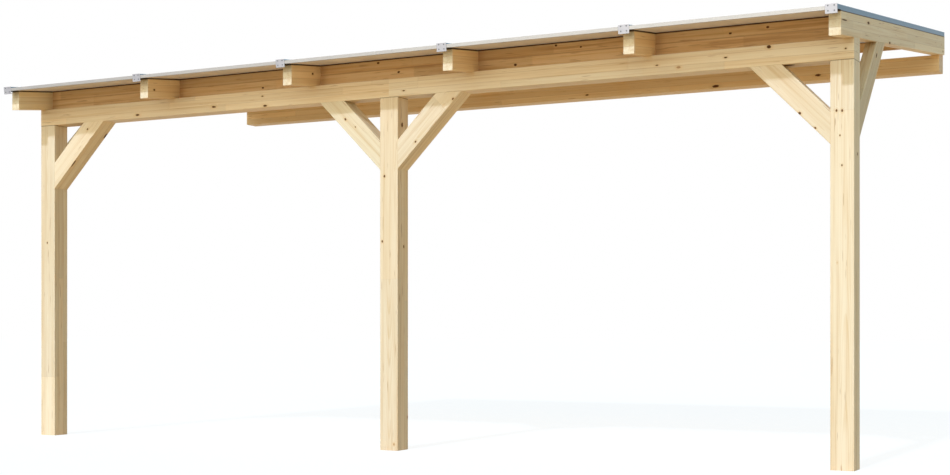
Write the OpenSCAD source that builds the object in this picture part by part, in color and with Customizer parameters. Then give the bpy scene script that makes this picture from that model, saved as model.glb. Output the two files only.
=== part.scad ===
// Lean-to patio roof in planed spruce: three posts and a front beam with knee braces,
// rafters falling from a wall plate, and multi-wall sheets held by aluminium glazing bars.
// The origin is the centre of the wall plate's back face, on the wall line: +X runs along
// the wall, +Y goes into the wall and +Z is up, so the posts stand in front of it.

/* [Overall] */
// Width over the outer faces of the two outer rafters
roof_w = 5410; // [4600:10:6400]
// Distance from the wall to the front face of the posts
post_line = 2390; // [1700:10:3400]
// Height from the ground to the underside of the front beam
clear_h = 2060; // [1800:10:2600]
// Height of the wall plate's underside above the beam's underside
fall = 280; // [160:10:420]

/* [Frame timber] */
// Side of a square post, and depth of the front beam and knee braces flush with it
post_w = 120; // [90:5:160]
// Height of the front beam at its back face, the higher one
beam_h = 120; // [90:5:180]
// Depth of the wall plate, from its front face to the wall
plate_d = 120; // [60:5:160]
// Height of the wall plate at the wall
plate_h = 120; // [90:5:180]
// How far the wall plate stops short of the outer rafters' outer faces
plate_short = 10; // [2:1:40]
// Width of the chamfer on the long edges of all timber
arris = 2; // [1:0.5:5]

/* [Braces] */
// Distance from post and beam corner to the outer edge of a knee brace
brace_reach = 420; // [300:10:600]
// Width of a knee brace, across its length
brace_w = 120; // [60:5:140]
// Thickness of a side brace, along the wall direction
side_brace_t = 60; // [40:5:80]
// Width of a side brace, across its length
side_brace_w = 120; // [60:5:140]
// Drop from the beam's underside to a side brace's lowest point
side_brace_drop = 380; // [250:10:600]
// Distance from the post to where the side brace's lower edge meets the rafter
side_brace_run = 570; // [350:2:700]

/* [Rafters] */
// Width of a rafter
rafter_w = 60; // [45:5:100]
// Height of a rafter, square to the roof
rafter_h = 118; // [90:2:180]
// Rafter overhang in front of the posts
eaves = 260; // [100:10:450]
// Thickness of the boards that close the gaps between the rafters
blocking_t = 20; // [16:1:45]
// Distance from the beam's front face back to those boards
blocking_set = 45; // [10:1:70]
// Height of the battens between the rafters at the wall, flush with the rafters' tops
batten_h = 60; // [30:5:90]
// Thickness of those battens
batten_t = 40; // [20:5:60]

/* [Roof sheets] */
// Thickness of a multi-wall sheet
sheet_t = 16; // [10:1:25]
// Thickness of a sheet's top and bottom skins
sheet_skin = 1; // [0.6:0.1:1.6]
// Thickness of a sheet's upright webs
sheet_web = 0.8; // [0.4:0.1:1.4]
// Number of air channels in one sheet
sheet_cells = 42; // [24:1:56]
// Gap between neighbouring sheets, at the middle of a glazing bar
sheet_gap = 20; // [16:1:26]
// Overhang of the sheets past the rafters' front ends
sheet_over = 70; // [20:5:120]
// Height of the rubber strips under the sheets, on the rafters, boards and battens
strip_h = 3; // [2:0.5:5]
// Wall of the channel that closes a sheet's front edge
channel_wall = 1.5; // [1:0.1:2.5]
// Length of that channel's flanges along the sheet
channel_leg = 25; // [15:1:40]
// Clearance between a channel's ends and the glazing bars
channel_gap = 1; // [0.5:0.1:3]

/* [Glazing bars] */
// Height of a bar's top above the sheets
bar_rise = 8.5; // [7:0.5:14]
// Wall thickness of a bar
bar_wall = 1.8; // [1.4:0.1:2.5]
// Chamfer along a bar's top edges
bar_edge = 2; // [1:0.1:3]
// Width of the feet along a bar's sides
bar_foot = 5; // [4:0.5:8]
// Height of the rubber lips between those feet and the sheets
lip_h = 1.5; // [1:0.1:2.5]
// Width of the spine that goes down between two sheets
spine_w = 10; // [8:0.5:14]
// Wall thickness of the outer side of an edge bar
edge_wall = 2.4; // [1.8:0.1:3.5]
// Depth of the grooves along that side
groove_d = 0.8; // [0.4:0.1:1.2]
// Width of those grooves
groove_w = 2; // [1:0.5:3]
// Thickness of an end cap
cap_t = 2; // [1.5:0.5:4]
// How far an end cap reaches below the rafters' top line
cap_below = 17; // [5:1:30]
// How far it stands above the bars
cap_above = 1.5; // [0.5:0.5:4]
// Length of the lip along an end cap's lower edge
cap_lip = 12; // [6:1:25]

/* [Hidden] */

bays = 5;
pitch_step = (roof_w - rafter_w) / bays;
post_span = (roof_w - post_w) / 2;

// Levels: z of the ground, the undersides, and the roof plane at the wall
beam_z = -plate_h / 2 - fall;
ground_z = beam_z - clear_h;
front_y = -post_line;
back_y = front_y + post_w;
rafter_y = front_y - eaves;

// The rafters' underside is the plane through the back top edges of beam and plate
pitch = atan2(fall + plate_h - beam_h, post_line - post_w);
function under_z(y) = plate_h / 2 + y * tan(pitch);
rafter_v = rafter_h / cos(pitch);
rafter_len = -rafter_y / cos(pitch);
roof_len = rafter_len + sheet_over / cos(pitch);

// Heights above the rafters' top, square to the roof
sheet_top = strip_h + sheet_t;
bar_top = sheet_top + bar_rise;
foot_z = sheet_top + lip_h;
strip_base = strip_h / 2;
rib_w = 2;

module spruce() color([0.87, 0.74, 0.54]) children();
module aluminium() color([0.72, 0.76, 0.80]) children();
module rubber() color([0.10, 0.10, 0.10]) children();

// Cuts each corner of a convex outline by the arris
function unit(v) = v / norm(v);
function cut_corners(p) = [for (i = [0:len(p) - 1])
    let (a = p[(i + len(p) - 1) % len(p)], b = p[(i + 1) % len(p)])
    for (q = [p[i] + arris * unit(a - p[i]), p[i] + arris * unit(b - p[i])]) q];

// Extrudes a Y, Z outline along X
module along_x(x0, x1) translate([x0, 0, 0]) rotate([90, 0, 90])
    linear_extrude(x1 - x0) children();

// A planed bar along local X, w high and t thick, with its lower edge on the X axis
module planed_bar(l, w, t) along_x(-l / 2, l / 2)
    polygon(cut_corners([[-t / 2, 0], [t / 2, 0], [t / 2, w], [-t / 2, w]]));

// The roof's own frame: X across, Y up the slope from the wall line, Z square to it
module on_roof() translate([0, 0, plate_h / 2 + rafter_v]) rotate([pitch, 0, 0]) children();

// Extrudes an outline across the roof (X, height) down the slope from the wall
module down_roof(l) rotate([90, 0, 0]) linear_extrude(l) children();

// ---- timber frame ----

module post(x) spruce() translate([x, front_y + post_w / 2, ground_z]) linear_extrude(clear_h)
    polygon(cut_corners([[-1, -1], [1, -1], [1, 1], [-1, 1]] * post_w / 2));

// A beam outline with its top planed to the roof's slope
function sloped_top(y0, y1, z0) = [[y0, z0], [y1, z0], [y1, under_z(y1)], [y0, under_z(y0)]];

module beam(x0, x1) spruce() along_x(x0, x1)
    polygon(cut_corners(sloped_top(front_y, back_y, beam_z)));

module wall_plate() spruce() along_x(plate_short - roof_w / 2, roof_w / 2 - plate_short)
    polygon(cut_corners(sloped_top(-plate_d, 0, -plate_h / 2)));

// A knee brace from the post's side at x up to the beam; side is 1 to the right, -1 to the left
module knee_brace(x, side) spruce() translate([x, front_y + post_w / 2, beam_z])
    scale_side(side) intersection() {
        translate([0, 0, -brace_reach]) rotate([0, -45, 0])
            planed_bar(4 * brace_reach, brace_w, post_w);
        translate([0, -post_w, -2 * brace_reach])
            cube([2 * brace_reach, 2 * post_w, 2 * brace_reach]);
    }

module scale_side(side) {
    if (side > 0) children();
    else mirror([1, 0, 0]) children();
}

// A side brace from a post's back face up to the outer rafter, mitred to both
side_brace_low = beam_z - side_brace_drop;
side_brace_end = back_y + side_brace_run;
side_brace_angle = atan2(under_z(side_brace_end) - side_brace_low, side_brace_run);

module side_brace(side) spruce() scale_side(side)
    translate([roof_w / 2 - side_brace_t / 2, 0, 0]) intersection() {
        translate([0, back_y, side_brace_low]) rotate([0, 0, 90])
            rotate([0, -side_brace_angle, 0])
                planed_bar(4 * side_brace_run, side_brace_w, side_brace_t);
        along_x(-side_brace_t, side_brace_t) polygon([[back_y, side_brace_low],
            [side_brace_end, side_brace_low], [side_brace_end, under_z(side_brace_end)],
            [back_y, under_z(back_y)]]);
    }

function rafter_x(i) = (i - 1) * pitch_step - (roof_w - rafter_w) / 2;

// A rafter, cut plumb at both ends
module rafter(i) spruce() translate([rafter_x(i), 0, 0]) intersection() {
    translate([0, 0, plate_h / 2]) rotate([pitch, 0, 0]) rotate([0, 0, 90])
        planed_bar(-3 * rafter_y, rafter_h, rafter_w);
    along_x(-rafter_w, rafter_w) polygon([[rafter_y, under_z(rafter_y) - rafter_h],
        [0, under_z(rafter_y) - rafter_h], [0, under_z(0) + 2 * rafter_h],
        [rafter_y, under_z(0) + 2 * rafter_h]]);
}

// Extrudes, between two rafters, a plumb outline of thickness t from y0 back, with its top
// and bottom on the roof's slope, from z0 to z1 above the rafters' underside
module between_rafters(i, y0, t, z0, z1) {
    y1 = y0 + t;
    along_x(rafter_x(i) + rafter_w / 2, rafter_x(i + 1) - rafter_w / 2)
        polygon([[y0, under_z(y0) + z0], [y1, under_z(y1) + z0], [y1, under_z(y1) + z1],
            [y0, under_z(y0) + z1]]);
}

blocking_y = front_y + blocking_set;

// The board between two rafters, standing on the beam's sloped top
module blocking(i) spruce() between_rafters(i, blocking_y, blocking_t, 0, rafter_v);

// The battens at the wall that carry the sheets' upper ends
module wall_battens() spruce() for (i = [1:bays])
    between_rafters(i, -batten_t, batten_t, rafter_v - batten_h, rafter_v);

// ---- roof covering ----

sheet_w = pitch_step - sheet_gap;
cell_pitch = (sheet_w - sheet_web) / sheet_cells;

// A multi-wall sheet with its air channels open at both ends
module roof_sheet(i) color([0.88, 0.90, 0.88]) on_roof()
    translate([rafter_x(i) + sheet_gap / 2, 0, strip_h]) down_roof(roof_len) difference() {
        square([sheet_w, sheet_t]);
        for (k = [0:sheet_cells - 1]) translate([sheet_web + k * cell_pitch, sheet_skin])
            square([cell_pitch - sheet_web, sheet_t - 2 * sheet_skin]);
    }

// The channel that closes a sheet's front edge, between two glazing bars
module edge_channel(i) {
    x0 = rafter_x(i) + rafter_w / 2 + channel_gap;
    x1 = rafter_x(i + 1) - rafter_w / 2 - channel_gap;
    aluminium() on_roof() along_x(x0, x1)
        translate([-roof_len, strip_h]) difference() {
            translate([-channel_wall, -channel_wall])
                square([channel_leg + channel_wall, sheet_t + 2 * channel_wall]);
            square([channel_leg + 1, sheet_t]);
        }
}

half_w = rafter_w / 2;
half_spine = spine_w / 2;

// Right half of a bar's outline from the top's middle to the underside's middle
function bar_side() = [[half_w - bar_edge, bar_top], [half_w, bar_top - bar_edge],
    [half_w, foot_z], [half_w - bar_foot, foot_z], [half_w - bar_foot, foot_z + bar_wall],
    [half_w - bar_wall, foot_z + bar_wall], [half_w - bar_wall, bar_top - bar_wall]];
function bar_spine() = [[half_spine, bar_top - bar_wall], [half_spine, strip_h],
    [half_spine - bar_wall, strip_h], [half_spine - bar_wall, bar_top - bar_wall]];

// The closed outer side of an edge bar, with two grooves along it
function groove(z) = [[half_w, z + groove_w / 2], [half_w - groove_d, z + groove_w / 2],
    [half_w - groove_d, z - groove_w / 2], [half_w, z - groove_w / 2]];
function edge_side() = concat([[half_w - bar_edge, bar_top], [half_w, bar_top - bar_edge]],
    groove(strip_h + (bar_top - strip_h) * 2 / 3), groove(strip_h + (bar_top - strip_h) / 3),
    [[half_w, strip_h], [half_w - 2 * bar_foot, strip_h],
    [half_w - 2 * bar_foot, strip_h + bar_wall], [half_w - edge_wall, strip_h + bar_wall],
    [half_w - edge_wall, bar_top - bar_wall]]);

function flip(p) = [for (i = [len(p) - 1:-1:0]) [-p[i][0], p[i][1]]];

module bar_outline(outer) polygon(concat(outer, bar_spine(), flip(bar_spine()),
    flip(bar_side())));

// An edge bar; over the rafter its outer side goes down to the wood, past the rubber strip
module edge_bar() {
    down_roof(roof_len) bar_outline(edge_side());
    down_roof(rafter_len) translate([half_w - edge_wall, 0])
        square([edge_wall, strip_h + bar_wall]);
}

// An aluminium bar over a rafter; the first and last close the roof's sides
module glazing_bar(i) aluminium() on_roof() translate([rafter_x(i), 0, 0]) {
    if (i == 1) mirror([1, 0, 0]) edge_bar();
    else if (i == bays + 1) edge_bar();
    else down_roof(roof_len) bar_outline(bar_side());
}

// The plates that close the bars' front ends, with a lip turned back below
module end_caps() aluminium() on_roof() for (i = [1:bays + 1])
    along_x(rafter_x(i) - half_w, rafter_x(i) + half_w) translate([-roof_len, 0])
        polygon([[-cap_t, -cap_below], [cap_lip, -cap_below], [cap_lip, cap_t - cap_below],
            [0, cap_t - cap_below], [0, bar_top + cap_above], [-cap_t, bar_top + cap_above]]);

// Right half of a ribbed strip's outline, half wide from the rafter's middle
module strip_side(half) {
    square([half, strip_base]);
    square([half_spine, strip_h]);
    for (k = [0:2]) translate([half - rib_w - k * (half - half_spine) / 3, 0])
        square([rib_w, strip_h]);
}

// The ribbed rubber strips on the rafters' tops; an edge bar's side stands beside the outer two
module rafter_strips() rubber() on_roof() for (i = [1:bays + 1])
    translate([rafter_x(i), 0, 0]) down_roof(roof_len) {
        strip_side(i == bays + 1 ? half_w - edge_wall : half_w);
        mirror([1, 0]) strip_side(i == 1 ? half_w - edge_wall : half_w);
    }

// The rubber strips that close the gap between the boards or battens and the sheets
module board_strips() rubber() for (i = [1:bays]) {
    sheet_z = rafter_v + strip_h / cos(pitch);
    between_rafters(i, blocking_y, blocking_t, rafter_v, sheet_z);
    between_rafters(i, -batten_t, batten_t, rafter_v, sheet_z);
}

// The rubber lips between the bars' feet and the sheets
module bar_lips() rubber() on_roof() for (i = [1:bays + 1], side = [-1, 1])
    if (!(i == 1 && side < 0) && !(i == bays + 1 && side > 0))
        translate([rafter_x(i) + side * (half_w - bar_foot / 2), 0, 0]) down_roof(roof_len)
            translate([-bar_foot / 2, sheet_top]) square([bar_foot, lip_h]);

post(-post_span);  // post_left
post(0);  // post_middle
post(post_span);  // post_right
beam(-roof_w / 2, 0);  // beam_left
beam(0, roof_w / 2);  // beam_right
wall_plate();
knee_brace(post_w / 2 - post_span, 1);  // knee_brace_left
knee_brace(-post_w / 2, -1);  // knee_brace_middle_left
knee_brace(post_w / 2, 1);  // knee_brace_middle_right
knee_brace(post_span - post_w / 2, -1);  // knee_brace_right
side_brace(-1);  // side_brace_left
side_brace(1);  // side_brace_right
for (i = [1:bays + 1]) {
    rafter(i);
    glazing_bar(i);
}
for (i = [1:bays]) {
    blocking(i);
    roof_sheet(i);
    edge_channel(i);
}
wall_battens();
end_caps();
rafter_strips();
board_strips();
bar_lips();
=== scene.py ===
from math import cos, pi, radians, sin, tan

import bmesh
import bpy
from bpy.props import FloatProperty, FloatVectorProperty, IntProperty, PointerProperty
from mathutils import Matrix, Vector


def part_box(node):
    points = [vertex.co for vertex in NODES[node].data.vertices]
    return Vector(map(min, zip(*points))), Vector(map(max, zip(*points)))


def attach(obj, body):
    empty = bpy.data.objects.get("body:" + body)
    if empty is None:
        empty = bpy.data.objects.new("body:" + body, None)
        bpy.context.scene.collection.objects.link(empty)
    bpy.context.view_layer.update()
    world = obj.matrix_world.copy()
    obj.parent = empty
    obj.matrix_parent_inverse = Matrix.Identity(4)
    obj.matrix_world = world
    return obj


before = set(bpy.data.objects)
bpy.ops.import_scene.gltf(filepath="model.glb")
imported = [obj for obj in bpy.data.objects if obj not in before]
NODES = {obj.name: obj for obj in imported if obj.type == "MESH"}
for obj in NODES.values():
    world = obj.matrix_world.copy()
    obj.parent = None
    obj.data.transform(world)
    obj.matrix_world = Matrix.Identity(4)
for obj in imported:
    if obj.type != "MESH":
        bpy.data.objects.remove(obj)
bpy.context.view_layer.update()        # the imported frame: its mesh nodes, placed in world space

bl_info = {
    "name": "Lean-to Patio Roof",
    "version": (1, 0, 0),
    "blender": (4, 5, 0),
    "location": "3D View > Sidebar > Patio Roof",
    "description": "Dresses a wall-mounted timber patio roof: spruce, sheets, bars and screws",
    "category": "Object",
}


# ---- places, taken from the frame ----

def middle_of(name):
    low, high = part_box(name)
    return (low + high) / 2


def half_size(name):
    low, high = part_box(name)
    return (high - low) / 2


def pitch_of_roof():
    """Angle of the roof, from the largest upward face of a rafter."""
    faces = NODES["rafter_1"].data.polygons
    up = max(faces, key=lambda face: face.normal.z * face.area).normal
    return Vector((0, 0, 1)).angle(up)


def rafter_depth():
    """Depth of a rafter, square to the roof."""
    half = half_size("rafter_1")
    return 2 * (half.z - half.y * tan(PITCH)) * cos(PITCH)


def edge_above_middle(name):
    """Height of a board's front top edge over its middle. Its top follows the roof."""
    half = half_size(name)
    return half.z - 2 * half.y * tan(PITCH)


def side_brace_slope():
    half = half_size("side_brace_left")
    return Vector((0, half.y, half.z)).normalized()


PITCH = pitch_of_roof()
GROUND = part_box("post_left")[0].z
SQUARE = 2 * half_size("post_left").y       # a post's side, and depth of beam, plate and braces
RAFTER_DEPTH = rafter_depth()
RAFTER_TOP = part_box("rafter_1")[1].z        # where its top meets the wall
BAR_LOW, BAR_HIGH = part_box("glazing_bar_1")
BAR_TOP = (BAR_HIGH.z - RAFTER_TOP) / cos(PITCH)
BAR_LENGTH = -(BAR_LOW.y + BAR_TOP * sin(PITCH)) / cos(PITCH)
BAR_NAMES = [name for name in sorted(NODES) if name.startswith("glazing_bar_")]
# The roof's own space: X across, Y up the slope from the wall, Z square to the rafters' tops
ON_ROOF = Matrix.Translation((0, 0, RAFTER_TOP)) @ Matrix.Rotation(PITCH, 4, "X")
UP_SLOPE = Vector((0, cos(PITCH), sin(PITCH)))
OFF_SLOPE = Vector((0, -sin(PITCH), cos(PITCH)))
# Faces of the timber that have knots
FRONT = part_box("beam_left")[0].y
BELOW_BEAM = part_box("beam_left")[0].z
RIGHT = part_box("rafter_6")[1].x
BOARD_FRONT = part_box("blocking_1")[0].y
PLATE_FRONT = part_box("wall_plate")[0].y


# ---- what a user would change ----

class TimberFinish(bpy.types.PropertyGroup):
    """Colours and scale of the planed spruce."""
    earlywood: FloatVectorProperty(
        name="Earlywood", description="Colour of the pale wood between the ring lines",
        subtype="COLOR", size=3, min=0, max=1, default=(0.87, 0.735, 0.55))
    latewood: FloatVectorProperty(
        name="Latewood", description="Colour of the ring lines",
        subtype="COLOR", size=3, min=0, max=1, default=(0.74, 0.54, 0.31))
    knot: FloatVectorProperty(
        name="Dead knot", description="Colour of the larger, dark knots",
        subtype="COLOR", size=3, min=0, max=1, default=(0.09, 0.035, 0.013))
    live_knot: FloatVectorProperty(
        name="Live knot", description="Colour of the small knots that are grown together",
        subtype="COLOR", size=3, min=0, max=1, default=(0.40, 0.20, 0.085))
    knot_share: FloatProperty(
        name="Knot share", description="How many of the places for a small knot have one",
        subtype="FACTOR", min=0, max=1, default=0.30)
    halo: FloatVectorProperty(
        name="Knot halo", description="Colour of the wood around a knot",
        subtype="COLOR", size=3, min=0, max=1, default=(0.72, 0.47, 0.22))
    ring_spacing: FloatProperty(
        name="Ring spacing", description="Distance between two ring lines",
        unit="LENGTH", min=0.001, max=0.01, default=0.0034)
    joint_spacing: FloatProperty(
        name="Finger joint spacing", description="Length of the pieces that are joined end to end",
        unit="LENGTH", min=0.2, max=4.0, default=1.3)


class RoofFinish(bpy.types.PropertyGroup):
    """Colours of the roof covering."""
    # The sheets' warm tint is painted: it stands in for the warm wood reflected in their
    # undersides
    sheet: FloatVectorProperty(
        name="Sheet", description="Tint of the multi-wall sheets",
        subtype="COLOR", size=3, min=0, max=1, default=(0.98, 0.86, 0.75))
    sheet_alpha: FloatProperty(
        name="Sheet opacity", description="How much of what is behind a sheet's skin is covered",
        subtype="FACTOR", min=0.05, max=1.0, default=0.56)
    channel: FloatVectorProperty(
        name="Edge channel", description="Colour of the channels along the sheets' front edges",
        subtype="COLOR", size=3, min=0, max=1, default=(0.425, 0.40, 0.38))
    # The bar's dark blue-grey is aluminium with a painted reflection of blue sky and painted shade
    bar: FloatVectorProperty(
        name="Bar", description="Colour of the glazing bars",
        subtype="COLOR", size=3, min=0, max=1, default=(0.067, 0.163, 0.238))
    cap: FloatVectorProperty(
        name="End cap", description="Colour of the bars' end caps",
        subtype="COLOR", size=3, min=0, max=1, default=(0.406, 0.39, 0.41))
    rubber: FloatVectorProperty(
        name="Rubber", description="Colour of the rubber strips and lips",
        subtype="COLOR", size=3, min=0, max=1, default=(0.020, 0.012, 0.007))
    rubber_bloom: FloatVectorProperty(
        name="Rubber bloom", description="Colour of the rubber where it is dull with age",
        subtype="COLOR", size=3, min=0, max=1, default=(0.050, 0.040, 0.032))


class ScrewSizes(bpy.types.PropertyGroup):
    """Sizes of the screws."""
    cap_head: FloatProperty(
        name="Cap screw head", description="Diameter of the screws that hold an end cap",
        unit="LENGTH", min=0.003, max=0.012, default=0.0075)
    bar_head: FloatProperty(
        name="Bar screw head", description="Width of the hexagon heads along a bar",
        unit="LENGTH", min=0.005, max=0.014, default=0.008)
    bar_spacing: FloatProperty(
        name="Bar screw spacing", description="Largest distance between two screws along a bar",
        unit="LENGTH", min=0.15, max=0.8, default=0.34)
    timber_head: FloatProperty(
        name="Timber screw head", description="Diameter of the flat heads behind the braces",
        unit="LENGTH", min=0.008, max=0.025, default=0.016)
    recess_sides: IntProperty(
        name="Lobes", description="Lobes of the drive recess in a screw head",
        min=4, max=8, default=6)


class Studio(bpy.types.PropertyGroup):
    """Floor, light and camera."""
    floor: FloatVectorProperty(
        name="Floor", description="Colour of the floor as it lights the roof from below",
        subtype="COLOR", size=3, min=0, max=1, default=(0.86, 0.52, 0.24))
    floor_lift: FloatProperty(
        name="Floor lift", description="Brightness of the floor as the camera sees it in shade",
        min=0, max=1, default=0.86)
    key: FloatProperty(
        name="Key light", description="Strength of the lamp in front",
        min=0, max=10, default=2.045)
    key_tint: FloatVectorProperty(
        name="Key tint", description="Colour of that lamp",
        subtype="COLOR", size=3, min=0, max=1, default=(0.547, 0.706, 1.0))
    fill: FloatProperty(
        name="Fill light", description="Strength of the wide soft lamp in front",
        min=0, max=10, default=2.32)
    fill_tint: FloatVectorProperty(
        name="Fill tint", description="Colour of that wide lamp",
        subtype="COLOR", size=3, min=0, max=1, default=(1.0, 0.975, 0.81))
    back: FloatProperty(
        name="Back light", description="Strength of the wide soft lamp behind",
        min=0, max=10, default=0.35)
    key_height: FloatProperty(
        name="Key height", description="Height of the key light above the horizon",
        subtype="ANGLE", default=radians(38))
    key_softness: FloatProperty(
        name="Key softness", description="Angle that the key light fills. It softens the shadows",
        subtype="ANGLE", default=radians(2.5))
    sky: FloatProperty(
        name="Sky", description="Strength of the even light from all round",
        min=0, max=2, default=0.476)
    sky_tint: FloatVectorProperty(
        name="Sky tint", description="Colour of that even light",
        subtype="COLOR", size=3, min=0, max=1, default=(0.416, 0.80, 1.0))
    camera_place: FloatVectorProperty(
        name="Camera", description="Place of the camera", subtype="TRANSLATION", size=3,
        unit="LENGTH", default=(4.510, -9.870, -1.679))
    camera_turn: FloatProperty(
        name="Camera turn", description="Turn of the level camera to the left of the roof's depth",
        subtype="ANGLE", default=radians(27.79))
    lens: FloatProperty(
        name="Lens", description="Focal length of the camera in mm", subtype="DISTANCE_CAMERA",
        min=10, max=300, default=56.68)
    rise: FloatProperty(
        name="Lens rise", description="How far the lens is shifted up, as a share of the width",
        min=-0.5, max=0.5, default=0.094)


# ---- node building ----

class Nodes:
    """The nodes of a material or world, emptied first, with a call for each kind of node."""

    def __init__(self, owner, output):
        owner.use_nodes = True
        self.tree = owner.node_tree
        self.tree.nodes.clear()
        self.output = self.add(output)

    def add(self, kind, sockets=None, **settings):
        made = self.tree.nodes.new(kind)
        for name, value in settings.items():
            setattr(made, name, value)
        for socket, value in (sockets or {}).items():
            self.feed(made.inputs[socket], value)
        return made

    def feed(self, socket, value):
        if isinstance(value, bpy.types.NodeSocket):
            self.tree.links.new(value, socket)
        elif socket.type == "RGBA" and len(value) == 3:
            socket.default_value = (*value, 1)
        else:
            socket.default_value = value

    def finish_with(self, made):
        """Makes a shader node the look of the material or world."""
        self.feed(self.output.inputs["Surface"], made.outputs[0])

    def math(self, operation, a, b=0.0, c=0.0, clamp=False):
        return self.add("ShaderNodeMath", {0: a, 1: b, 2: c}, operation=operation,
                        use_clamp=clamp).outputs[0]

    def vector(self, operation, a, b=(0, 0, 0), output=0):
        return self.add("ShaderNodeVectorMath", {0: a, 1: b}, operation=operation).outputs[output]

    def times(self, colour, factor):
        return self.add("ShaderNodeVectorMath", {0: colour, "Scale": factor},
                        operation="SCALE").outputs[0]

    def length(self, a):
        return self.vector("LENGTH", a, output="Value")

    def split(self, a):
        return self.add("ShaderNodeSeparateXYZ", {0: a}).outputs[:3]

    def join(self, x, y, z):
        return self.add("ShaderNodeCombineXYZ", {0: x, 1: y, 2: z}).outputs[0]

    def stretched(self, place, scale):
        return self.add("ShaderNodeMapping", {"Vector": place, "Scale": scale}).outputs[0]

    def around(self, place, middle, **sockets):
        """The place as seen from middle, in a space with that Rotation or Scale."""
        return self.add("ShaderNodeMapping", {"Vector": place, "Location": middle, **sockets},
                        vector_type="TEXTURE").outputs[0]

    def noise(self, place, scale, detail=2.0, roughness=0.5, output="Fac"):
        return self.add("ShaderNodeTexNoise", {
            "Vector": place, "Scale": scale, "Detail": detail, "Roughness": roughness,
        }).outputs[output]

    def lot(self, x, y, z, output="Value"):
        """A random number or colour for each set of three whole numbers."""
        return self.add("ShaderNodeTexWhiteNoise", {"Vector": self.join(x, y, z)}).outputs[output]

    def spread(self, value, start, end, low, high, curve="LINEAR"):
        """Takes start to low and end to high."""
        return self.add("ShaderNodeMapRange", {
            "Value": value, "From Min": start, "From Max": end, "To Min": low, "To Max": high,
        }, interpolation_type=curve).outputs[0]

    def smooth(self, value, start, end, low=0.0, high=1.0):
        return self.spread(value, start, end, low, high, "SMOOTHSTEP")

    def mix(self, factor, a, b):
        return self.add("ShaderNodeMix", {0: factor, 6: a, 7: b}, data_type="RGBA").outputs[2]

    def shows_background(self):
        """1 for the rays that show the background, 0 for the rays that only light things."""
        path = self.add("ShaderNodeLightPath").outputs
        shown = self.math("MAXIMUM", path["Is Camera Ray"], path["Is Glossy Ray"])
        return self.math("MAXIMUM", shown, path["Is Transmission Ray"])


class Finish(Nodes):
    """A material with a Principled shader."""

    def __init__(self, name):
        self.material = bpy.data.materials.get(name) or bpy.data.materials.new(name)
        super().__init__(self.material, "ShaderNodeOutputMaterial")
        self.shader = self.add("ShaderNodeBsdfPrincipled")
        self.finish_with(self.shader)
        self.object_space = self.add("ShaderNodeTexCoord").outputs["Object"]

    def shade(self, **sockets):
        """Feeds the shader's sockets of those names, with _ for a space."""
        for name, value in sockets.items():
            self.feed(self.shader.inputs[name.replace("_", " ")], value)

    def bump(self, height, distance, strength=1.0):
        made = self.add("ShaderNodeBump", {
            "Height": height, "Distance": distance, "Strength": strength})
        self.shade(Normal=made.outputs[0])

    def dress(self, obj):
        obj.data.materials.clear()
        obj.data.materials.append(self.material)


# ---- spruce ----

LAYER_MARGIN = 1.02       # layers are this much thicker, so no glue line falls on a face
FINGER = 0.0035           # half a finger's width in a joint. A finger is three of these long
GRAIN_WAVE = 0.016        # how far the grain wanders
PITH_ASIDE = 0.05         # how far aside of its piece the pith lies at most
PITH_BELOW = (0.025, 0.10)
RING_LEAN = 0.022         # how much the rings taper along a piece
RING_LIFT = 0.010         # how far the rings bend round a knot
TOP_SHADE_WIDTH = 0.0035        # width of the painted shade along a top edge under the sheets
BUTT_EDGE = 0.0025        # width of the shaded line where two members meet
EDGE_BLUR = 0.002
CORNER_SHADE_REACH = 0.07       # length of the painted shade at a board's end beside a rafter
FAR = 9.0                 # a distance from a knot, in its radii, at which nothing of it shows


def turned(grain, layers):
    """The rotation whose X axis is the grain and whose Z axis goes through the layers."""
    x, z = Vector(grain).normalized(), Vector(layers).normalized()
    y = z.cross(x)
    return Matrix((x, y, z)).transposed()


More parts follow.
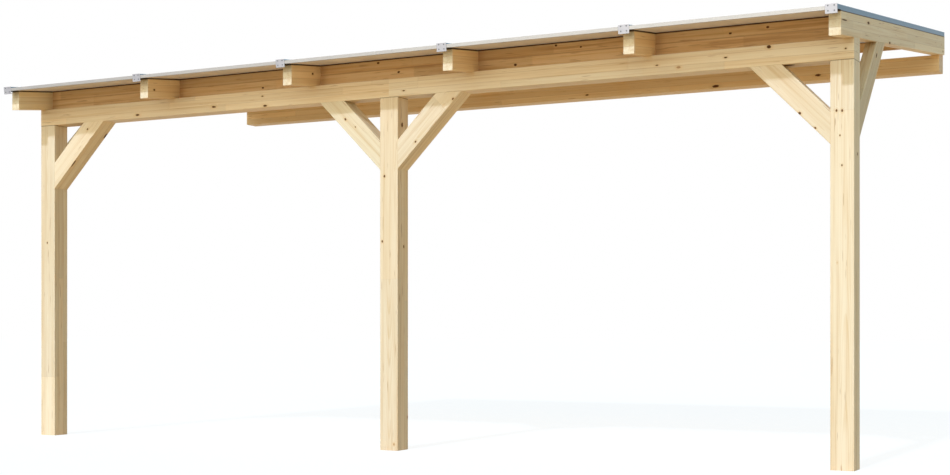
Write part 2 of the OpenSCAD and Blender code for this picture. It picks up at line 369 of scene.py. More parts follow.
class Spruce(Finish):
    """Planed glued spruce for one member. Its places are in the member's own space, from the
    member's centre: X along the grain and Z through the layers. life is the contrast of its
    streaks. Its two tints paint light and shade on its long faces and its ends."""

    def __init__(self, name, centre, seed, grain, layers, life, light_shade_tone, end_light_shade_tone):
        super().__init__(name)
        self.look = bpy.context.scene.patio_timber
        self.seed, self.life = seed, life
        self.centre, self.turn = Vector(centre), turned(grain, layers)
        self.place = self.around(self.object_space, centre, Rotation=self.turn.to_euler())
        # Each member's noise comes from another place, so no two have the same grain
        self.seeded = self.vector("ADD", self.place, (seed * 3.7, seed * 1.9, seed * 2.3))
        wave = self.streaks((1.1, 6.0, 6.0), 2.0, 0.5, "Color")
        wave = self.vector("MULTIPLY", self.vector("SUBTRACT", wave, (0.5, 0.5, 0.5)),
                           (0, GRAIN_WAVE, GRAIN_WAVE))
        self.waved = self.vector("ADD", self.place, wave)
        self.fibre = self.streaks((14, 900, 900), 2.0, 0.6)
        normal = self.add("ShaderNodeNewGeometry").outputs["True Normal"]
        cut = self.math("ABSOLUTE",
                        self.vector("DOT_PRODUCT", normal, self.turn.col[0], "Value"))
        self.end_grain = self.smooth(cut, 0.85, 0.97)
        self.light_shade_tone = self.mix(self.end_grain, light_shade_tone, end_light_shade_tone)

    def streaks(self, scale, detail, roughness, output="Fac"):
        """Noise with that scale on each axis."""
        return self.noise(self.stretched(self.seeded, scale), 1.0, detail, roughness, output)

    def grow_knots(self, knots, stretch):
        """A scatter of small live knots in the whole member, and the given dark ones. Sets
        the distance from the nearest of each kind, in its radii."""
        cells = self.add("ShaderNodeTexVoronoi", {
            "Vector": self.stretched(self.seeded, (5.5, 9.0, 9.0)), "Scale": 1.0,
            "Randomness": 1.0})
        pick = self.split(cells.outputs["Color"])
        live = self.math("DIVIDE", cells.outputs["Distance"],
                         self.spread(pick[1], 0, 1, 0.03, 0.065))
        missing = self.math("GREATER_THAN", pick[0], self.look.knot_share)
        live = self.math("MULTIPLY_ADD", missing, FAR, live)
        dead = FAR
        for x, y, z, radius, *longer in knots:
            spot = self.turn.transposed() @ (Vector((x, y, z)) - self.centre)
            reach = radius * (longer[0] if longer else stretch)
            near = self.around(self.place, spot, Scale=(reach, radius, radius))
            dead = self.math("MINIMUM", dead, self.length(near))
        blur = self.spread(self.streaks((60, 160, 160), 2.0, 0.6), 0, 1, -0.35, 0.35)
        dead = self.math("ADD", dead, blur)
        knot = self.math("MINIMUM", self.math("ADD", live, blur), dead)
        self.core = self.smooth(knot, 1.05, 0.70)
        self.halo = self.smooth(knot, 2.7, 0.9)
        self.swirl = self.smooth(knot, 3.8, 0.0)
        self.dead_core = self.smooth(dead, 1.05, 0.70)

    def edge_line(self, value, size, start, end):
        """1 on the lines between pieces of that size, which the whole numbers of value count,
        and 0 further from them than start."""
        off = self.math("ABSOLUTE", self.math("SUBTRACT", self.math("FRACT", value), 0.5))
        off = self.math("MULTIPLY", self.math("SUBTRACT", 0.5, off), size)
        return self.smooth(off, start, end)

    def glue_layers(self, depth, count, joint, groove):
        """Cuts the member into its layers, and each layer into pieces that are finger-jointed
        end to end. Every piece draws its own lot."""
        along, _, through = self.split(self.place)
        size = depth / count * LAYER_MARGIN
        layer = self.math("ADD", self.math("DIVIDE", through, size), count / 2)
        floor = self.math("FLOOR", layer)
        piece = self.look.joint_spacing * joint
        zigzag = self.math("PINGPONG", through, FINGER)
        run = self.math("DIVIDE", self.math("MULTIPLY_ADD", zigzag, 3.0, along), piece)
        shift = self.math("MULTIPLY", self.lot(floor, self.seed + 0.5, 0.5), 7.0)
        run = self.math("ADD", run, shift)
        of_piece = (floor, self.math("FLOOR", run), self.seed + 0.5)
        self.draw = self.split(self.lot(*of_piece, output="Color"))
        self.warmth = self.lot(*of_piece)
        off_middle = self.math("SUBTRACT", self.math("FRACT", layer), 0.5)
        self.in_layer = self.math("MULTIPLY", off_middle, size)
        self.glue = self.edge_line(layer, size, groove, groove / 4)
        self.joint = self.edge_line(run, piece, 0.0014, 0.0004)

    def grow_rings(self):
        """Ring lines round a pith that lies outside each piece, bent round the knots."""
        along, across, through = self.split(self.waved)
        flat = self.split(self.place)[2]
        down = self.math("ADD", self.in_layer, self.math("SUBTRACT", through, flat))
        across = self.math("SUBTRACT", across,
                           self.spread(self.draw[0], 0, 1, -PITH_ASIDE, PITH_ASIDE))
        down = self.math("ADD", down, self.spread(self.draw[1], 0, 1, *PITH_BELOW))
        lean = self.math("MULTIPLY", along,
                         self.spread(self.draw[2], 0, 1, -RING_LEAN, RING_LEAN))
        radius = self.math("ADD", self.length(self.join(across, down, 0.0)), lean)
        radius = self.math("ADD", radius, self.math("MULTIPLY", self.swirl, RING_LIFT))
        ring = self.math("FRACT", self.math("DIVIDE", radius, self.look.ring_spacing))
        self.line = self.math("MULTIPLY", self.smooth(ring, 0.25, 0.86),
                              self.smooth(ring, 1.0, 0.92))

    def wood_colour(self):
        """Pale wood with ring lines, streaks at two widths and short resin marks."""
        life, look = self.life, self.look
        broad = self.streaks((0.55, 16, 16), 3.0, 0.55)
        fine = self.streaks((1.3, 60, 60), 3.0, 0.65)
        resin = self.smooth(self.streaks((7, 110, 110), 1.0, 0.5),
                            0.78 - 0.05 * life, 0.85 - 0.05 * life)
        share = self.math("MULTIPLY_ADD", self.line, 0.36,
                          self.spread(broad, 0.25, 0.75, -0.16, 0.30))
        share = self.math("ADD", share, self.spread(fine, 0.3, 0.7, -0.20 * life, 0.30 * life))
        share = self.math("ADD", share, self.math("MULTIPLY", self.end_grain, 0.06), clamp=True)
        colour = self.mix(share, self.vector("MULTIPLY", look.earlywood, self.light_shade_tone),
                          self.vector("MULTIPLY", look.latewood, self.light_shade_tone))
        bright = self.math("MULTIPLY_ADD", self.draw[2], 0.08 * life, 1 - 0.045 * life)
        bright = self.math("MULTIPLY", bright, self.spread(self.fibre, 0.2, 0.8, 0.97, 1.03))
        warm = self.mix(self.math("MULTIPLY", self.warmth, 0.6), (1, 1, 1), (1, 0.92, 0.80))
        colour = self.vector("MULTIPLY", self.times(colour, bright), warm)
        streak = self.smooth(fine, 0.55, 0.70, 0, 0.22 * (life - 1.1))
        colour = self.mix(streak, colour, look.live_knot)
        colour = self.mix(self.math("MULTIPLY", self.halo, 0.50), colour, look.halo)
        colour = self.mix(self.math("MULTIPLY", resin, 0.60), colour, look.live_knot)
        colour = self.mix(self.math("MULTIPLY", self.core, 0.90), colour, look.live_knot)
        return self.mix(self.math("MULTIPLY", self.dead_core, 0.94), colour, look.knot)

    def darken_edges(self, colour, groove_depth, top, butt, shade_corner):
        """Darkens the glue lines and joints. Where they are given, it also paints shade: towards a
        board's end where it meets a rafter, along the edge at top through the layers, under the
        sheets, and as a shadow line at the end at butt along the grain. Also gives how dark each
        place is, so that dark wood and the painted shade have no gloss."""
        look = self.look
        along, _, through = self.split(self.place)
        marks = self.math("MAXIMUM", self.math("MULTIPLY", self.glue, groove_depth),
                          self.math("MULTIPLY", self.joint, 0.30))
        colour = self.mix(marks, colour, look.live_knot)
        dark = self.dead_core
        if shade_corner is not None:
            # Painted shade cast by the rafter, darker towards the board's end
            shaded = self.smooth(along, shade_corner + CORNER_SHADE_REACH, shade_corner, 0, 0.45)
            colour = self.mix(shaded, colour, look.live_knot)
        # Painted shade under the sheets along the top edge, and a painted shadow line at the butt
        # end
        for way, end, width, strength in ((through, top, TOP_SHADE_WIDTH, 0.85),
                                          (along, butt, BUTT_EDGE, 0.60)):
            if end is not None:
                edge = self.smooth(way, end - width - EDGE_BLUR, end - width, 0, strength)
                colour = self.mix(edge, colour, look.knot)
                dark = self.math("MAXIMUM", dark, edge)
        return colour, dark

    def surface(self):
        """Roughness along the rings, and grooves at the glue lines and joints."""
        rough = self.spread(self.fibre, 0.2, 0.8, 0.56, 0.68)
        self.shade(Roughness=self.math("MULTIPLY_ADD", self.line, -0.08, rough))
        height = self.math("MULTIPLY_ADD", self.line, 0.35,
                           self.math("MULTIPLY", self.fibre, 0.5))
        height = self.math("MULTIPLY_ADD", self.math("MAXIMUM", self.glue, self.joint), -1.0,
                           height)
        self.bump(self.math("MULTIPLY_ADD", self.core, 0.5, height), 0.0004, 0.6)


def spruce(name, centre, grain, layers, depth, count, seed, joint=1.0, life=1.6, stretch=1.4,
           groove=0.0016, groove_depth=0.40, top=None, butt=None, shade_corner=None, light_shade_tone=(1, 1, 1),
           end_light_shade_tone=(1, 1, 1), knots=()):
    """The spruce of a member that is depth thick through its count layers, which meet in lines
    of the width groove. joint scales the length of its finger-jointed pieces. Knots are places
    on its faces with their radius, in the frame's own metres, and their length over their width
    where it isn't stretch. A member under the sheets gets painted shade along its top edges,
    which lie top above its centre, and one that butts against another gets a painted shadow line
    at that end, which lies butt along the grain. A board gets painted shade towards its end that
    meets a rafter. The tints paint light and shade on its long faces and its ends."""
    wood = Spruce(name, centre, seed, grain, layers, life, light_shade_tone, end_light_shade_tone)
    wood.grow_knots(knots, stretch)
    wood.glue_layers(depth, count, joint, groove)
    wood.grow_rings()
    colour, dark = wood.darken_edges(wood.wood_colour(), groove_depth, top, butt, shade_corner)
    # Less gloss where the wood is dark: its knots and its painted shade
    wood.shade(Base_Color=colour, Specular_IOR_Level=wood.math("MULTIPLY_ADD", dark, -0.32, 0.35))
    wood.surface()
    return wood


# ---- metal ----

def drawn_metal(name, colour, along, metallic, roughness, spangle=0.0):
    """Metal with fine die lines along its length. along scales the pattern on each axis."""
    f = Finish(name)
    lines = f.noise(f.stretched(f.object_space, along), 1.0, 3.0, 0.65)
    cloud = f.noise(f.object_space, 9.0, 3.0, 0.55)
    shade = f.math("MULTIPLY", f.spread(lines, 0.2, 0.8, 0.93, 1.07),
                   f.spread(cloud, 0.3, 0.7, 0.97 - spangle, 1.03 + spangle))
    f.shade(Base_Color=f.times(colour, shade), Metallic=metallic,
            Roughness=f.spread(lines, 0.2, 0.8, roughness - 0.07, roughness + 0.07))
    f.bump(lines, 0.0002, 0.4)
    return f


# ---- timber ----

# A post gets a painted shadow line at its top, where it butts against the beam
POST_LINES = dict(grain=(0, 0, 1), layers=(0, 1, 0), depth=SQUARE, count=3, joint=2.0,
                  butt=half_size("post_left").z)
BEAM_LINES = dict(grain=(1, 0, 0), layers=(0, 0, 1), depth=SQUARE, count=3, stretch=2.4)
# A board gets painted shade along its top edge under the sheets and towards its left end beside
# the rafter
BOARD_LINES = dict(grain=(1, 0, 0), layers=(0, 0, 1), depth=RAFTER_DEPTH, count=2, joint=0.55,
                   life=3.0, groove=0.0050, groove_depth=0.60,
                   top=edge_above_middle("blocking_1"), shade_corner=-half_size("blocking_1").x)
# Solid wood, so its one layer is deeper than the batten and no glue line shows
BATTEN_LINES = dict(grain=(1, 0, 0), layers=(0, 0, 1), depth=0.075, count=1, life=1.8)
# A rafter gets painted shade along its top edges under the sheets
RAFTER_LINES = dict(grain=UP_SLOPE, layers=OFF_SLOPE, depth=RAFTER_DEPTH, count=3,
                    top=RAFTER_DEPTH / 2)
RIGHT_BRACE = dict(grain=(1, 0, 1), layers=(0, 1, 0), depth=SQUARE, count=3)
LEFT_BRACE = dict(grain=(-1, 0, 1), layers=(0, 1, 0), depth=SQUARE, count=3)
SIDE_BRACE = dict(grain=side_brace_slope(), layers=side_brace_slope().cross((1, 0, 0)),
                  depth=SQUARE, count=3)

TIMBER = {
    "post_left": POST_LINES, "post_middle": POST_LINES, "post_right": POST_LINES,
    "beam_left": BEAM_LINES, "beam_right": BEAM_LINES, "wall_plate": BEAM_LINES,
    "knee_brace_left": RIGHT_BRACE, "knee_brace_middle_left": LEFT_BRACE,
    "knee_brace_middle_right": RIGHT_BRACE, "knee_brace_right": LEFT_BRACE,
    "side_brace_left": SIDE_BRACE, "side_brace_right": SIDE_BRACE,
    **{f"rafter_{i}": RAFTER_LINES for i in range(1, 7)},
    **{f"blocking_{i}": BOARD_LINES for i in range(1, 6)}, "wall_battens": BATTEN_LINES,
}

# Painted light and shade: warmer, darker tints for members in the roof's shade, rafter_1 lighter
UNTINTED = (1, 1, 1)
LIGHT_SHADE_TONES = {"blocking": (0.85, 0.685, 0.485), "wall_battens": (0.85, 0.685, 0.485),
         "wall_plate": (0.98, 0.88, 0.72), "beam_left": (0.945, 0.90, 0.84),
         "beam_right": (1.0, 0.975, 0.94), "knee_brace_middle_left": (0.92, 0.945, 0.935),
         "side_brace": (0.80, 0.77, 0.69), "rafter_1": (1.06, 1.06, 1.0),
         **{f"rafter_{i}": (1.08, 0.96, 0.79) for i in range(2, 6)}}
# Painted shade on the wall plate's end grain
END_LIGHT_SHADE_TONES = {"wall_plate": (0.90, 0.79, 0.74)}

# The larger knots: x, y, z and radius in metres, and the length over the width of some
KNOTS = {
    "post_left": [(-2.65, FRONT, -1.12, 0.0055)],
    "post_middle": [(-0.03, FRONT, -0.80, 0.0065), (-0.045, FRONT, -1.18, 0.0055),
                    (0.06, -2.34, -0.50, 0.0095, 1.6), (0.06, -2.32, -1.21, 0.0065)],
    "post_right": [(2.617, FRONT, -0.595, 0.0055), (2.645, FRONT, -0.597, 0.0055),
                   (2.634, FRONT, -0.72, 0.0035), (2.644, FRONT, -0.87, 0.0040),
                   (RIGHT, -2.32, -0.81, 0.0065)],
    "beam_left": [(-1.88, FRONT, -0.32, 0.0070), (-1.27, FRONT, -0.31, 0.0070),
                  (-0.88, FRONT, -0.33, 0.0065), (-0.90, FRONT, -0.27, 0.0040)],
    "beam_right": [(2.27, FRONT, -0.245, 0.0095, 1.3), (2.04, FRONT, -0.28, 0.0040),
                   (0.10, FRONT, -0.31, 0.0040), (1.66, FRONT, -0.29, 0.0040),
                   (2.663, FRONT, -0.287, 0.0045, 1.2),
                   # Painted shade: a large dark knot on the beam's underside beside the right knee
                   # brace
                   (2.360, -2.345, BELOW_BEAM, 0.0200, 1.7)],
    "knee_brace_left": [(-2.30, FRONT, -0.385, 0.0055), (-2.427, -2.382, -0.602, 0.0060, 5.5),
                        (-2.246, -2.277, -0.421, 0.0100, 2.2)],
    "knee_brace_middle_left": [(-0.30, FRONT, -0.45, 0.0065), (-0.23, FRONT, -0.50, 0.0040)],
    "knee_brace_middle_right": [(0.18, FRONT, -0.61, 0.0055), (0.425, FRONT, -0.38, 0.0055)],
    "knee_brace_right": [(2.43, FRONT, -0.595, 0.0065), (2.51, FRONT, -0.675, 0.0050)],
    "side_brace_right": [(RIGHT, -1.902, -0.248, 0.0080, 2.6)],
    "rafter_2": [(-1.575, -2.59, -0.21, 0.0065)],
    "rafter_3": [(-0.505, -2.43, -0.17, 0.0065)],
    "rafter_6": [(RIGHT, -2.083, -0.109, 0.0075, 3.5), (RIGHT, -1.585, -0.129, 0.0070, 3.0),
                 (RIGHT, -2.582, -0.184, 0.0035, 16.0), (RIGHT, -0.05, 0.075, 0.0065)],
    "blocking_2": [(-0.93, BOARD_FRONT, -0.21, 0.0065)],
    "blocking_3": [(-0.10, BOARD_FRONT, -0.126, 0.0070), (0.04, BOARD_FRONT, -0.19, 0.0070)],
    "blocking_4": [(0.80, BOARD_FRONT, -0.21, 0.0075), (1.05, BOARD_FRONT, -0.123, 0.0065),
                   (1.20, BOARD_FRONT, -0.145, 0.0055)],
    "blocking_5": [(2.05, BOARD_FRONT, -0.148, 0.0065), (2.25, BOARD_FRONT, -0.134, 0.0065)],
    "wall_plate": [(1.22, PLATE_FRONT, -0.045, 0.0100), (1.92, PLATE_FRONT, -0.024, 0.0090),
                   (0.27, PLATE_FRONT, -0.036, 0.0055)],
}


class PATIO_OT_timber(bpy.types.Operator):
    """Gives each timber member its own planed spruce."""
    bl_idname = "patio.timber"
    bl_label = "Finish Timber"
    bl_options = {"REGISTER", "UNDO"}

    def execute(self, context):
        for seed, (name, lines) in enumerate(TIMBER.items(), 1):
            # The tint that paints the member's light and shade
            light_shade_tone = next((LIGHT_SHADE_TONES[kind] for kind in LIGHT_SHADE_TONES if name.startswith(kind)), UNTINTED)
            wood = spruce(f"spruce_{name}", middle_of(name), seed=seed, light_shade_tone=light_shade_tone,
                          end_light_shade_tone=END_LIGHT_SHADE_TONES.get(name, UNTINTED), knots=KNOTS.get(name, ()),
                          **lines)
            wood.dress(NODES[name])
        return {"FINISHED"}


# ---- roof covering ----

class PATIO_OT_sheets(bpy.types.Operator):
    """Gives the multi-wall sheets their see-through, slightly streaky plastic."""
    bl_idname = "patio.sheets"
    bl_label = "Finish Sheets"
    bl_options = {"REGISTER", "UNDO"}

    def execute(self, context):
        look = context.scene.patio_roof
        f = Finish("multiwall_sheet")
        haze = f.noise(f.stretched(f.object_space, (14, 2.5, 14)), 1.0, 3.0, 0.6)
        dust = f.noise(f.object_space, 260.0, 2.0, 0.6)
        shade = f.math("MULTIPLY", f.spread(haze, 0.3, 0.7, 0.97, 1.02),
                       f.spread(dust, 0.3, 0.7, 0.985, 1.01))
        # The warm tint paints the reflection of the wood onto the sheets' undersides
        f.shade(Base_Color=f.times(look.sheet, shade), Alpha=look.sheet_alpha,
                Roughness=f.spread(haze, 0.3, 0.7, 0.28, 0.38), Specular_IOR_Level=0.25,
                IOR=1.58)
        f.bump(haze, 0.0003, 0.3)
        for name, node in NODES.items():
            if name.startswith("roof_sheet_"):
                f.dress(node)
        return {"FINISHED"}


class PATIO_OT_metal(bpy.types.Operator):
    """Gives the bars, their end caps and the edge channels their drawn aluminium."""
    bl_idname = "patio.metal"
    bl_label = "Finish Aluminium"
    bl_options = {"REGISTER", "UNDO"}

    def execute(self, context):
        look = context.scene.patio_roof
        # The bar's colour paints a reflection of blue sky and shade onto the aluminium
        bar = drawn_metal("aluminium_bar", look.bar, (700, 5, 700), 0.95, 0.38)
        cap = drawn_metal("aluminium_cap", look.cap, (40, 700, 700), 0.90, 0.42, 0.02)
        channel = drawn_metal("aluminium_channel", look.channel, (4, 700, 700), 0.90, 0.40)
        for name, node in NODES.items():
            if name.startswith("glazing_bar_"):
                bar.dress(node)
            elif name.startswith("edge_channel_"):
                channel.dress(node)
        cap.dress(NODES["end_caps"])
        return {"FINISHED"}


class PATIO_OT_rubber(bpy.types.Operator):
    """Gives the strips under the sheets and the lips under the bars their matt black rubber."""
    bl_idname = "patio.rubber"
    bl_label = "Finish Rubber"
    bl_options = {"REGISTER", "UNDO"}

    def execute(self, context):
        look = context.scene.patio_roof
        f = Finish("black_rubber")
        speckle = f.noise(f.object_space, 420.0, 3.0, 0.6)
        bloom = f.noise(f.object_space, 14.0, 2.0, 0.5)
        bloomed = f.mix(f.spread(bloom, 0.35, 0.75, 0.0, 0.35), look.rubber, look.rubber_bloom)
        f.shade(Base_Color=bloomed, Roughness=f.spread(speckle, 0.3, 0.7, 0.62, 0.80),
                Specular_IOR_Level=0.15)
        f.bump(speckle, 0.0002, 0.5)
        for name in ("rafter_strips", "board_strips", "bar_lips"):
            f.dress(NODES[name])
        return {"FINISHED"}


# ---- screws ----

CAP_THICKNESS = 0.002
CAP_SCREW_ASIDE = 0.0155                # from the middle of a cap
CAP_SCREW_HEIGHTS = (-0.004, 0.021)     # above the rafters' tops
CAP_SCREW_RISE = 0.0004                 # how far a head stands out
BAR_SCREW_INSET = 0.12                  # of the first and last screw from a bar's ends
BAR_SCREW_RISE = 0.0064
HEXAGON = 1.15                          # its width over the corners, for 1 over the flats
WASHER_WIDTH, WASHER_RISE = 0.016, 0.0022
TIMBER_SCREW_RISE = 0.0028
# Behind a knee brace, along the beam from its post and up from its lowest point
BRACE_SCREWS = ((0.040, 0.075), (0.040, 0.155), (0.265, 0.380), (0.345, 0.380))


def screw_metal(name, colour, roughness):
    return drawn_metal(name, colour, (300, 300, 300), 0.9, roughness)


def finished_piece(name, shape, finish):
    """Makes the shape a piece of the roof, in place of an earlier one of that name."""
    bmesh.ops.recalc_face_normals(shape, faces=shape.faces)
    mesh = bpy.data.meshes.new(name)
    shape.to_mesh(mesh)
    shape.free()
    old = bpy.data.objects.get(name)
    if old:
        bpy.data.objects.remove(old)
    piece = bpy.data.objects.new(name, mesh)
    bpy.context.scene.collection.objects.link(piece)
    finish.dress(piece)
    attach(piece, "root")


def raised(shape, faces, height):
    """Extrudes faces by height and returns the new end face. The first faces stay."""
    made = bmesh.ops.extrude_face_region(shape, geom=faces)["geom"]
    verts = [item for item in made if isinstance(item, bmesh.types.BMVert)]
    bmesh.ops.translate(shape, verts=verts, vec=(0, 0, height))
    return next(item for item in made if isinstance(item, bmesh.types.BMFace))


def crown_of(shape):
    """The highest face, and the one with the most corners where several lie as high."""
    return max(shape.faces, key=lambda face: (round(face.calc_center_median().z, 6),
                                              len(face.verts)))


def screw_head(width, height, lobes, sides=24, round_over=0.45):
    """A screw head standing on the XY plane. The drive recess lies under the crown's face,
    which stays and covers it. Its rim is lobed where the head has more sides than lobes.
    round_over is the share of the height that is round."""
    shape = bmesh.new()
    bmesh.ops.create_circle(shape, cap_ends=True, segments=sides, radius=width / 2)
    crown = raised(shape, shape.faces[:], height)
    bmesh.ops.bevel(shape, geom=crown.edges[:], offset=height * round_over, segments=3,
                    affect="EDGES", profile=0.5, material=-1)
    bmesh.ops.inset_region(shape, faces=[crown_of(shape)], thickness=width * 0.19)
    rim = crown_of(shape)
    if sides > lobes:
        for k, vert in enumerate(rim.verts):
            reach = 1 + 0.14 * cos(2 * pi * lobes * k / len(rim.verts))
            vert.co.x, vert.co.y = vert.co.x * reach, vert.co.y * reach
    floor = raised(shape, [rim], -height * 0.5)
    bmesh.ops.scale(shape, verts=floor.verts[:], vec=(0.85, 0.85, 1))
    return shape


def washer(width, height):
    """A domed washer on the XY plane: its half section turned round the screw."""
    shape = bmesh.new()
    section = [(0, 0), (width / 2, 0), (width / 2, height * 0.35), (width * 0.30, height),
               (0, height)]
    verts = [shape.verts.new((x, 0, z)) for x, z in section]
    edges = [shape.edges.new(pair) for pair in zip(verts, verts[1:])]
    bmesh.ops.spin(shape, geom=verts + edges, cent=(0, 0, 0), axis=(0, 0, 1), angle=2 * pi,
                   steps=24, use_merge=True)
    bmesh.ops.remove_doubles(shape, verts=shape.verts, dist=1e-6)
    return shape


def mesh_from(shape):
    """A mesh of the shape, which is used up."""
    mesh = bpy.data.meshes.new("pattern")
    shape.to_mesh(mesh)
    shape.free()
    return mesh


def repeated(pattern, places):
    """One shape with a copy of the pattern at each place. The pattern is used up."""
    bmesh.ops.recalc_face_normals(pattern, faces=pattern.faces)
    mesh = mesh_from(pattern)
    shape = bmesh.new()
    for place in places:
        count = len(shape.verts)
        shape.from_mesh(mesh)
        shape.verts.ensure_lookup_table()
        bmesh.ops.transform(shape, matrix=place, verts=shape.verts[count:])
    bpy.data.meshes.remove(mesh)
    return shape


def joined(*shapes):
    """One shape from several. They are used up."""
    whole = bmesh.new()
    for shape in shapes:
        mesh = mesh_from(shape)
        whole.from_mesh(mesh)
        bpy.data.meshes.remove(mesh)
    return whole


class PATIO_OT_cap_screws(bpy.types.Operator):
    """Puts four screws in each end cap."""
    bl_idname = "patio.cap_screws"
    bl_label = "Add Cap Screws"
    bl_options = {"REGISTER", "UNDO"}

    def execute(self, context):
        sizes = context.scene.patio_screws
        steel = screw_metal("screw_steel", (0.12, 0.12, 0.13), 0.35)
        for i, bar in enumerate(BAR_NAMES, 1):
            middle = middle_of(bar).x
            places = [ON_ROOF @ Matrix.Translation((x, -BAR_LENGTH - CAP_THICKNESS, z))
                      @ Matrix.Rotation(pi / 2, 4, "X")
                      for x in (middle - CAP_SCREW_ASIDE, middle + CAP_SCREW_ASIDE)
                      for z in CAP_SCREW_HEIGHTS]
            head = screw_head(sizes.cap_head, CAP_SCREW_RISE, sizes.recess_sides)
            finished_piece(f"cap_screws_{i}", repeated(head, places), steel)
        return {"FINISHED"}


class PATIO_OT_bar_screws(bpy.types.Operator):
    """Puts a row of hexagon screws with sealing washers along each bar."""
    bl_idname = "patio.bar_screws"
    bl_label = "Add Bar Screws"
    bl_options = {"REGISTER", "UNDO"}

    def execute(self, context):
        sizes = context.scene.patio_screws
        steel = screw_metal("washer_steel", (0.62, 0.63, 0.64), 0.32)
        run = BAR_LENGTH - 2 * BAR_SCREW_INSET
        steps = int(run / sizes.bar_spacing) + 1
        for i, bar in enumerate(BAR_NAMES, 1):
            places = [ON_ROOF @ Matrix.Translation(
                (middle_of(bar).x, -BAR_SCREW_INSET - run * k / steps, BAR_TOP))
                for k in range(steps + 1)]
            head = screw_head(sizes.bar_head * HEXAGON, BAR_SCREW_RISE, sizes.recess_sides,
                              sides=6, round_over=0.10)
            screw = joined(washer(WASHER_WIDTH, WASHER_RISE), head)
            finished_piece(f"bar_screws_{i}", repeated(screw, places), steel)
        return {"FINISHED"}


class PATIO_OT_brace_screws(bpy.types.Operator):
    """Puts flat-headed timber screws in the back faces of the knee braces."""
    bl_idname = "patio.brace_screws"
    bl_label = "Add Brace Screws"
    bl_options = {"REGISTER", "UNDO"}

    def execute(self, context):
        sizes = context.scene.patio_screws
        zinc = screw_metal("zinc_steel", (0.55, 0.52, 0.42), 0.4)
        for name in (name for name in TIMBER if name.startswith("knee_brace_")):
            low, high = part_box(name)
            places = []
            for along, up in BRACE_SCREWS:
                x = low.x + along if TIMBER[name] is RIGHT_BRACE else high.x - along
                places.append(Matrix.Translation((x, high.y, low.z + up))
                              @ Matrix.Rotation(-pi / 2, 4, "X"))
            head = screw_head(sizes.timber_head, TIMBER_SCREW_RISE, sizes.recess_sides)
            finished_piece(f"{name}_screws", repeated(head, places), zinc)
        return {"FINISHED"}


# ---- stage ----

FLOOR_REACH = 60
# A lamp's height above the horizon in front, or past the zenith behind, and the angle it fills
FILL_LAMP = dict(height=radians(12), softness=radians(70))
BACK_LAMP = dict(height=radians(140), softness=radians(25), colour=(1.0, 0.97, 0.92))
WHITE = (1, 1, 1)


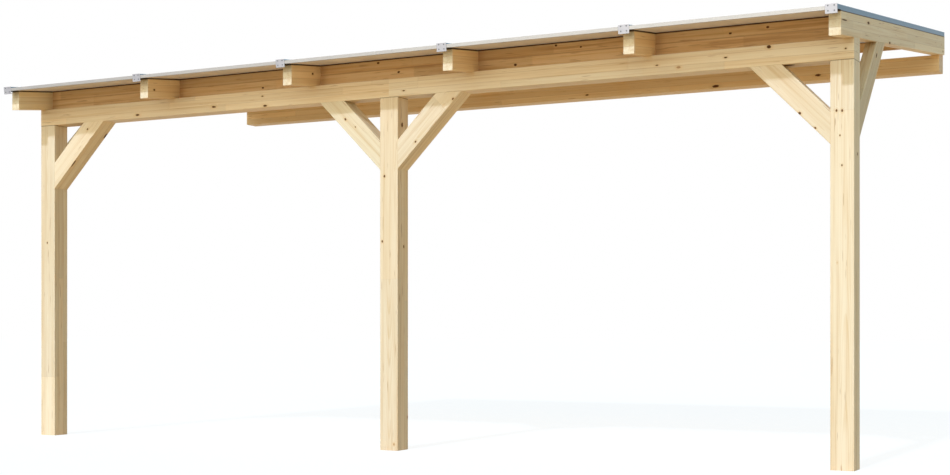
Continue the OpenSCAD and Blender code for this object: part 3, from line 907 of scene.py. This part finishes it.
class PATIO_OT_stage(bpy.types.Operator):
    """Sets the floor, the light and the camera."""
    bl_idname = "patio.stage"
    bl_label = "Set Stage"
    bl_options = {"REGISTER", "UNDO"}

    def execute(self, context):
        scene, studio = context.scene, context.scene.patio_studio
        self.lay_floor(scene, studio)
        self.light_world(scene, studio)
        self.add_lamp(scene, "key_light", studio.key, studio.key_height,
                      studio.key_softness, studio.key_tint)
        self.add_lamp(scene, "fill_light", studio.fill, colour=studio.fill_tint, **FILL_LAMP)
        self.add_lamp(scene, "back_light", studio.back, **BACK_LAMP)
        self.set_camera(scene, studio)
        scene.view_settings.view_transform = "Standard"
        return {"FINISHED"}

    def lay_floor(self, scene, studio):
        shape = bmesh.new()
        bmesh.ops.create_grid(shape, x_segments=2, y_segments=2, size=FLOOR_REACH)
        bmesh.ops.translate(shape, verts=shape.verts, vec=(0, 0, GROUND))
        mesh = bpy.data.meshes.new("floor")
        shape.to_mesh(mesh)
        shape.free()
        floor = bpy.data.objects.new("floor", mesh)
        scene.collection.objects.link(floor)
        self.paint_floor(studio).dress(floor)

    def paint_floor(self, studio):
        """A floor that lights the roof from below, and that keeps the shadows on it but
        reaches white where it shows."""
        f = Finish("pale_floor")
        patch = f.noise(f.object_space, 0.8, 3.0, 0.5)
        f.shade(Base_Color=f.times(studio.floor, f.spread(patch, 0.3, 0.7, 0.985, 1.0)),
                Roughness=0.9, Specular_IOR_Level=0.0)
        matt = f.add("ShaderNodeBsdfDiffuse", {"Color": (0.2, 0.2, 0.2)})
        glow = f.add("ShaderNodeEmission", {"Color": WHITE, "Strength": studio.floor_lift})
        shown = f.add("ShaderNodeAddShader", {0: matt.outputs[0], 1: glow.outputs[0]})
        f.finish_with(f.add("ShaderNodeMixShader", {
            0: f.shows_background(), 1: f.shader.outputs[0], 2: shown.outputs[0]}))
        return f

    def light_world(self, scene, studio):
        """Even soft light, and white where the background shows."""
        scene.world = bpy.data.worlds.new("studio")
        nodes = Nodes(scene.world, "ShaderNodeOutputWorld")
        shows = nodes.shows_background()
        nodes.finish_with(nodes.add("ShaderNodeBackground", {
            "Color": nodes.mix(shows, studio.sky_tint, WHITE),
            "Strength": nodes.spread(shows, 0, 1, studio.sky, 1.0)}))

    def add_lamp(self, scene, name, strength, height, softness, colour):
        lamp = bpy.data.lights.new(name, "SUN")
        lamp.energy = strength
        lamp.angle = softness
        lamp.color = colour
        made = bpy.data.objects.new(name, lamp)
        made.rotation_euler = (pi / 2 - height, 0, 0)
        scene.collection.objects.link(made)

    def set_camera(self, scene, studio):
        """A level camera, with its lens shifted up."""
        camera = bpy.data.objects.new("camera", bpy.data.cameras.new("camera"))
        camera.location = studio.camera_place
        camera.rotation_euler = (pi / 2, 0, studio.camera_turn)
        camera.data.lens = studio.lens
        camera.data.shift_y = studio.rise
        camera.data.clip_end = 200
        scene.collection.objects.link(camera)
        scene.camera = camera


class PATIO_PT_panel(bpy.types.Panel):
    """Lists the finishes, the sizes and the steps of the patio roof."""
    bl_idname = "PATIO_PT_panel"
    bl_label = "Patio Roof"
    bl_space_type = "VIEW_3D"
    bl_region_type = "UI"
    bl_category = "Patio Roof"

    def draw(self, context):
        for group, steps in STEPS.items():
            box = self.layout.box()
            settings = getattr(context.scene, group)
            for name in settings.__annotations__:
                box.prop(settings, name)
            for step in steps:
                box.operator(step)


GROUPS = {"patio_timber": TimberFinish, "patio_roof": RoofFinish,
          "patio_screws": ScrewSizes, "patio_studio": Studio}
STEPS = {
    "patio_timber": ["patio.timber"],
    "patio_roof": ["patio.sheets", "patio.metal", "patio.rubber"],
    "patio_screws": ["patio.cap_screws", "patio.bar_screws", "patio.brace_screws"],
    "patio_studio": ["patio.stage"],
}
CLASSES = [*GROUPS.values(), PATIO_OT_timber, PATIO_OT_sheets, PATIO_OT_metal, PATIO_OT_rubber,
           PATIO_OT_cap_screws, PATIO_OT_bar_screws, PATIO_OT_brace_screws, PATIO_OT_stage,
           PATIO_PT_panel]


def register():
    for made in CLASSES:
        bpy.utils.register_class(made)
    for name, group in GROUPS.items():
        setattr(bpy.types.Scene, name, PointerProperty(type=group))


def unregister():
    for name in GROUPS:
        delattr(bpy.types.Scene, name)
    for made in reversed(CLASSES):
        bpy.utils.unregister_class(made)


def main():
    register()
    for steps in STEPS.values():
        for step in steps:
            family, name = step.split(".")
            getattr(getattr(bpy.ops, family), name)()


if __name__ == "__main__":
    main()
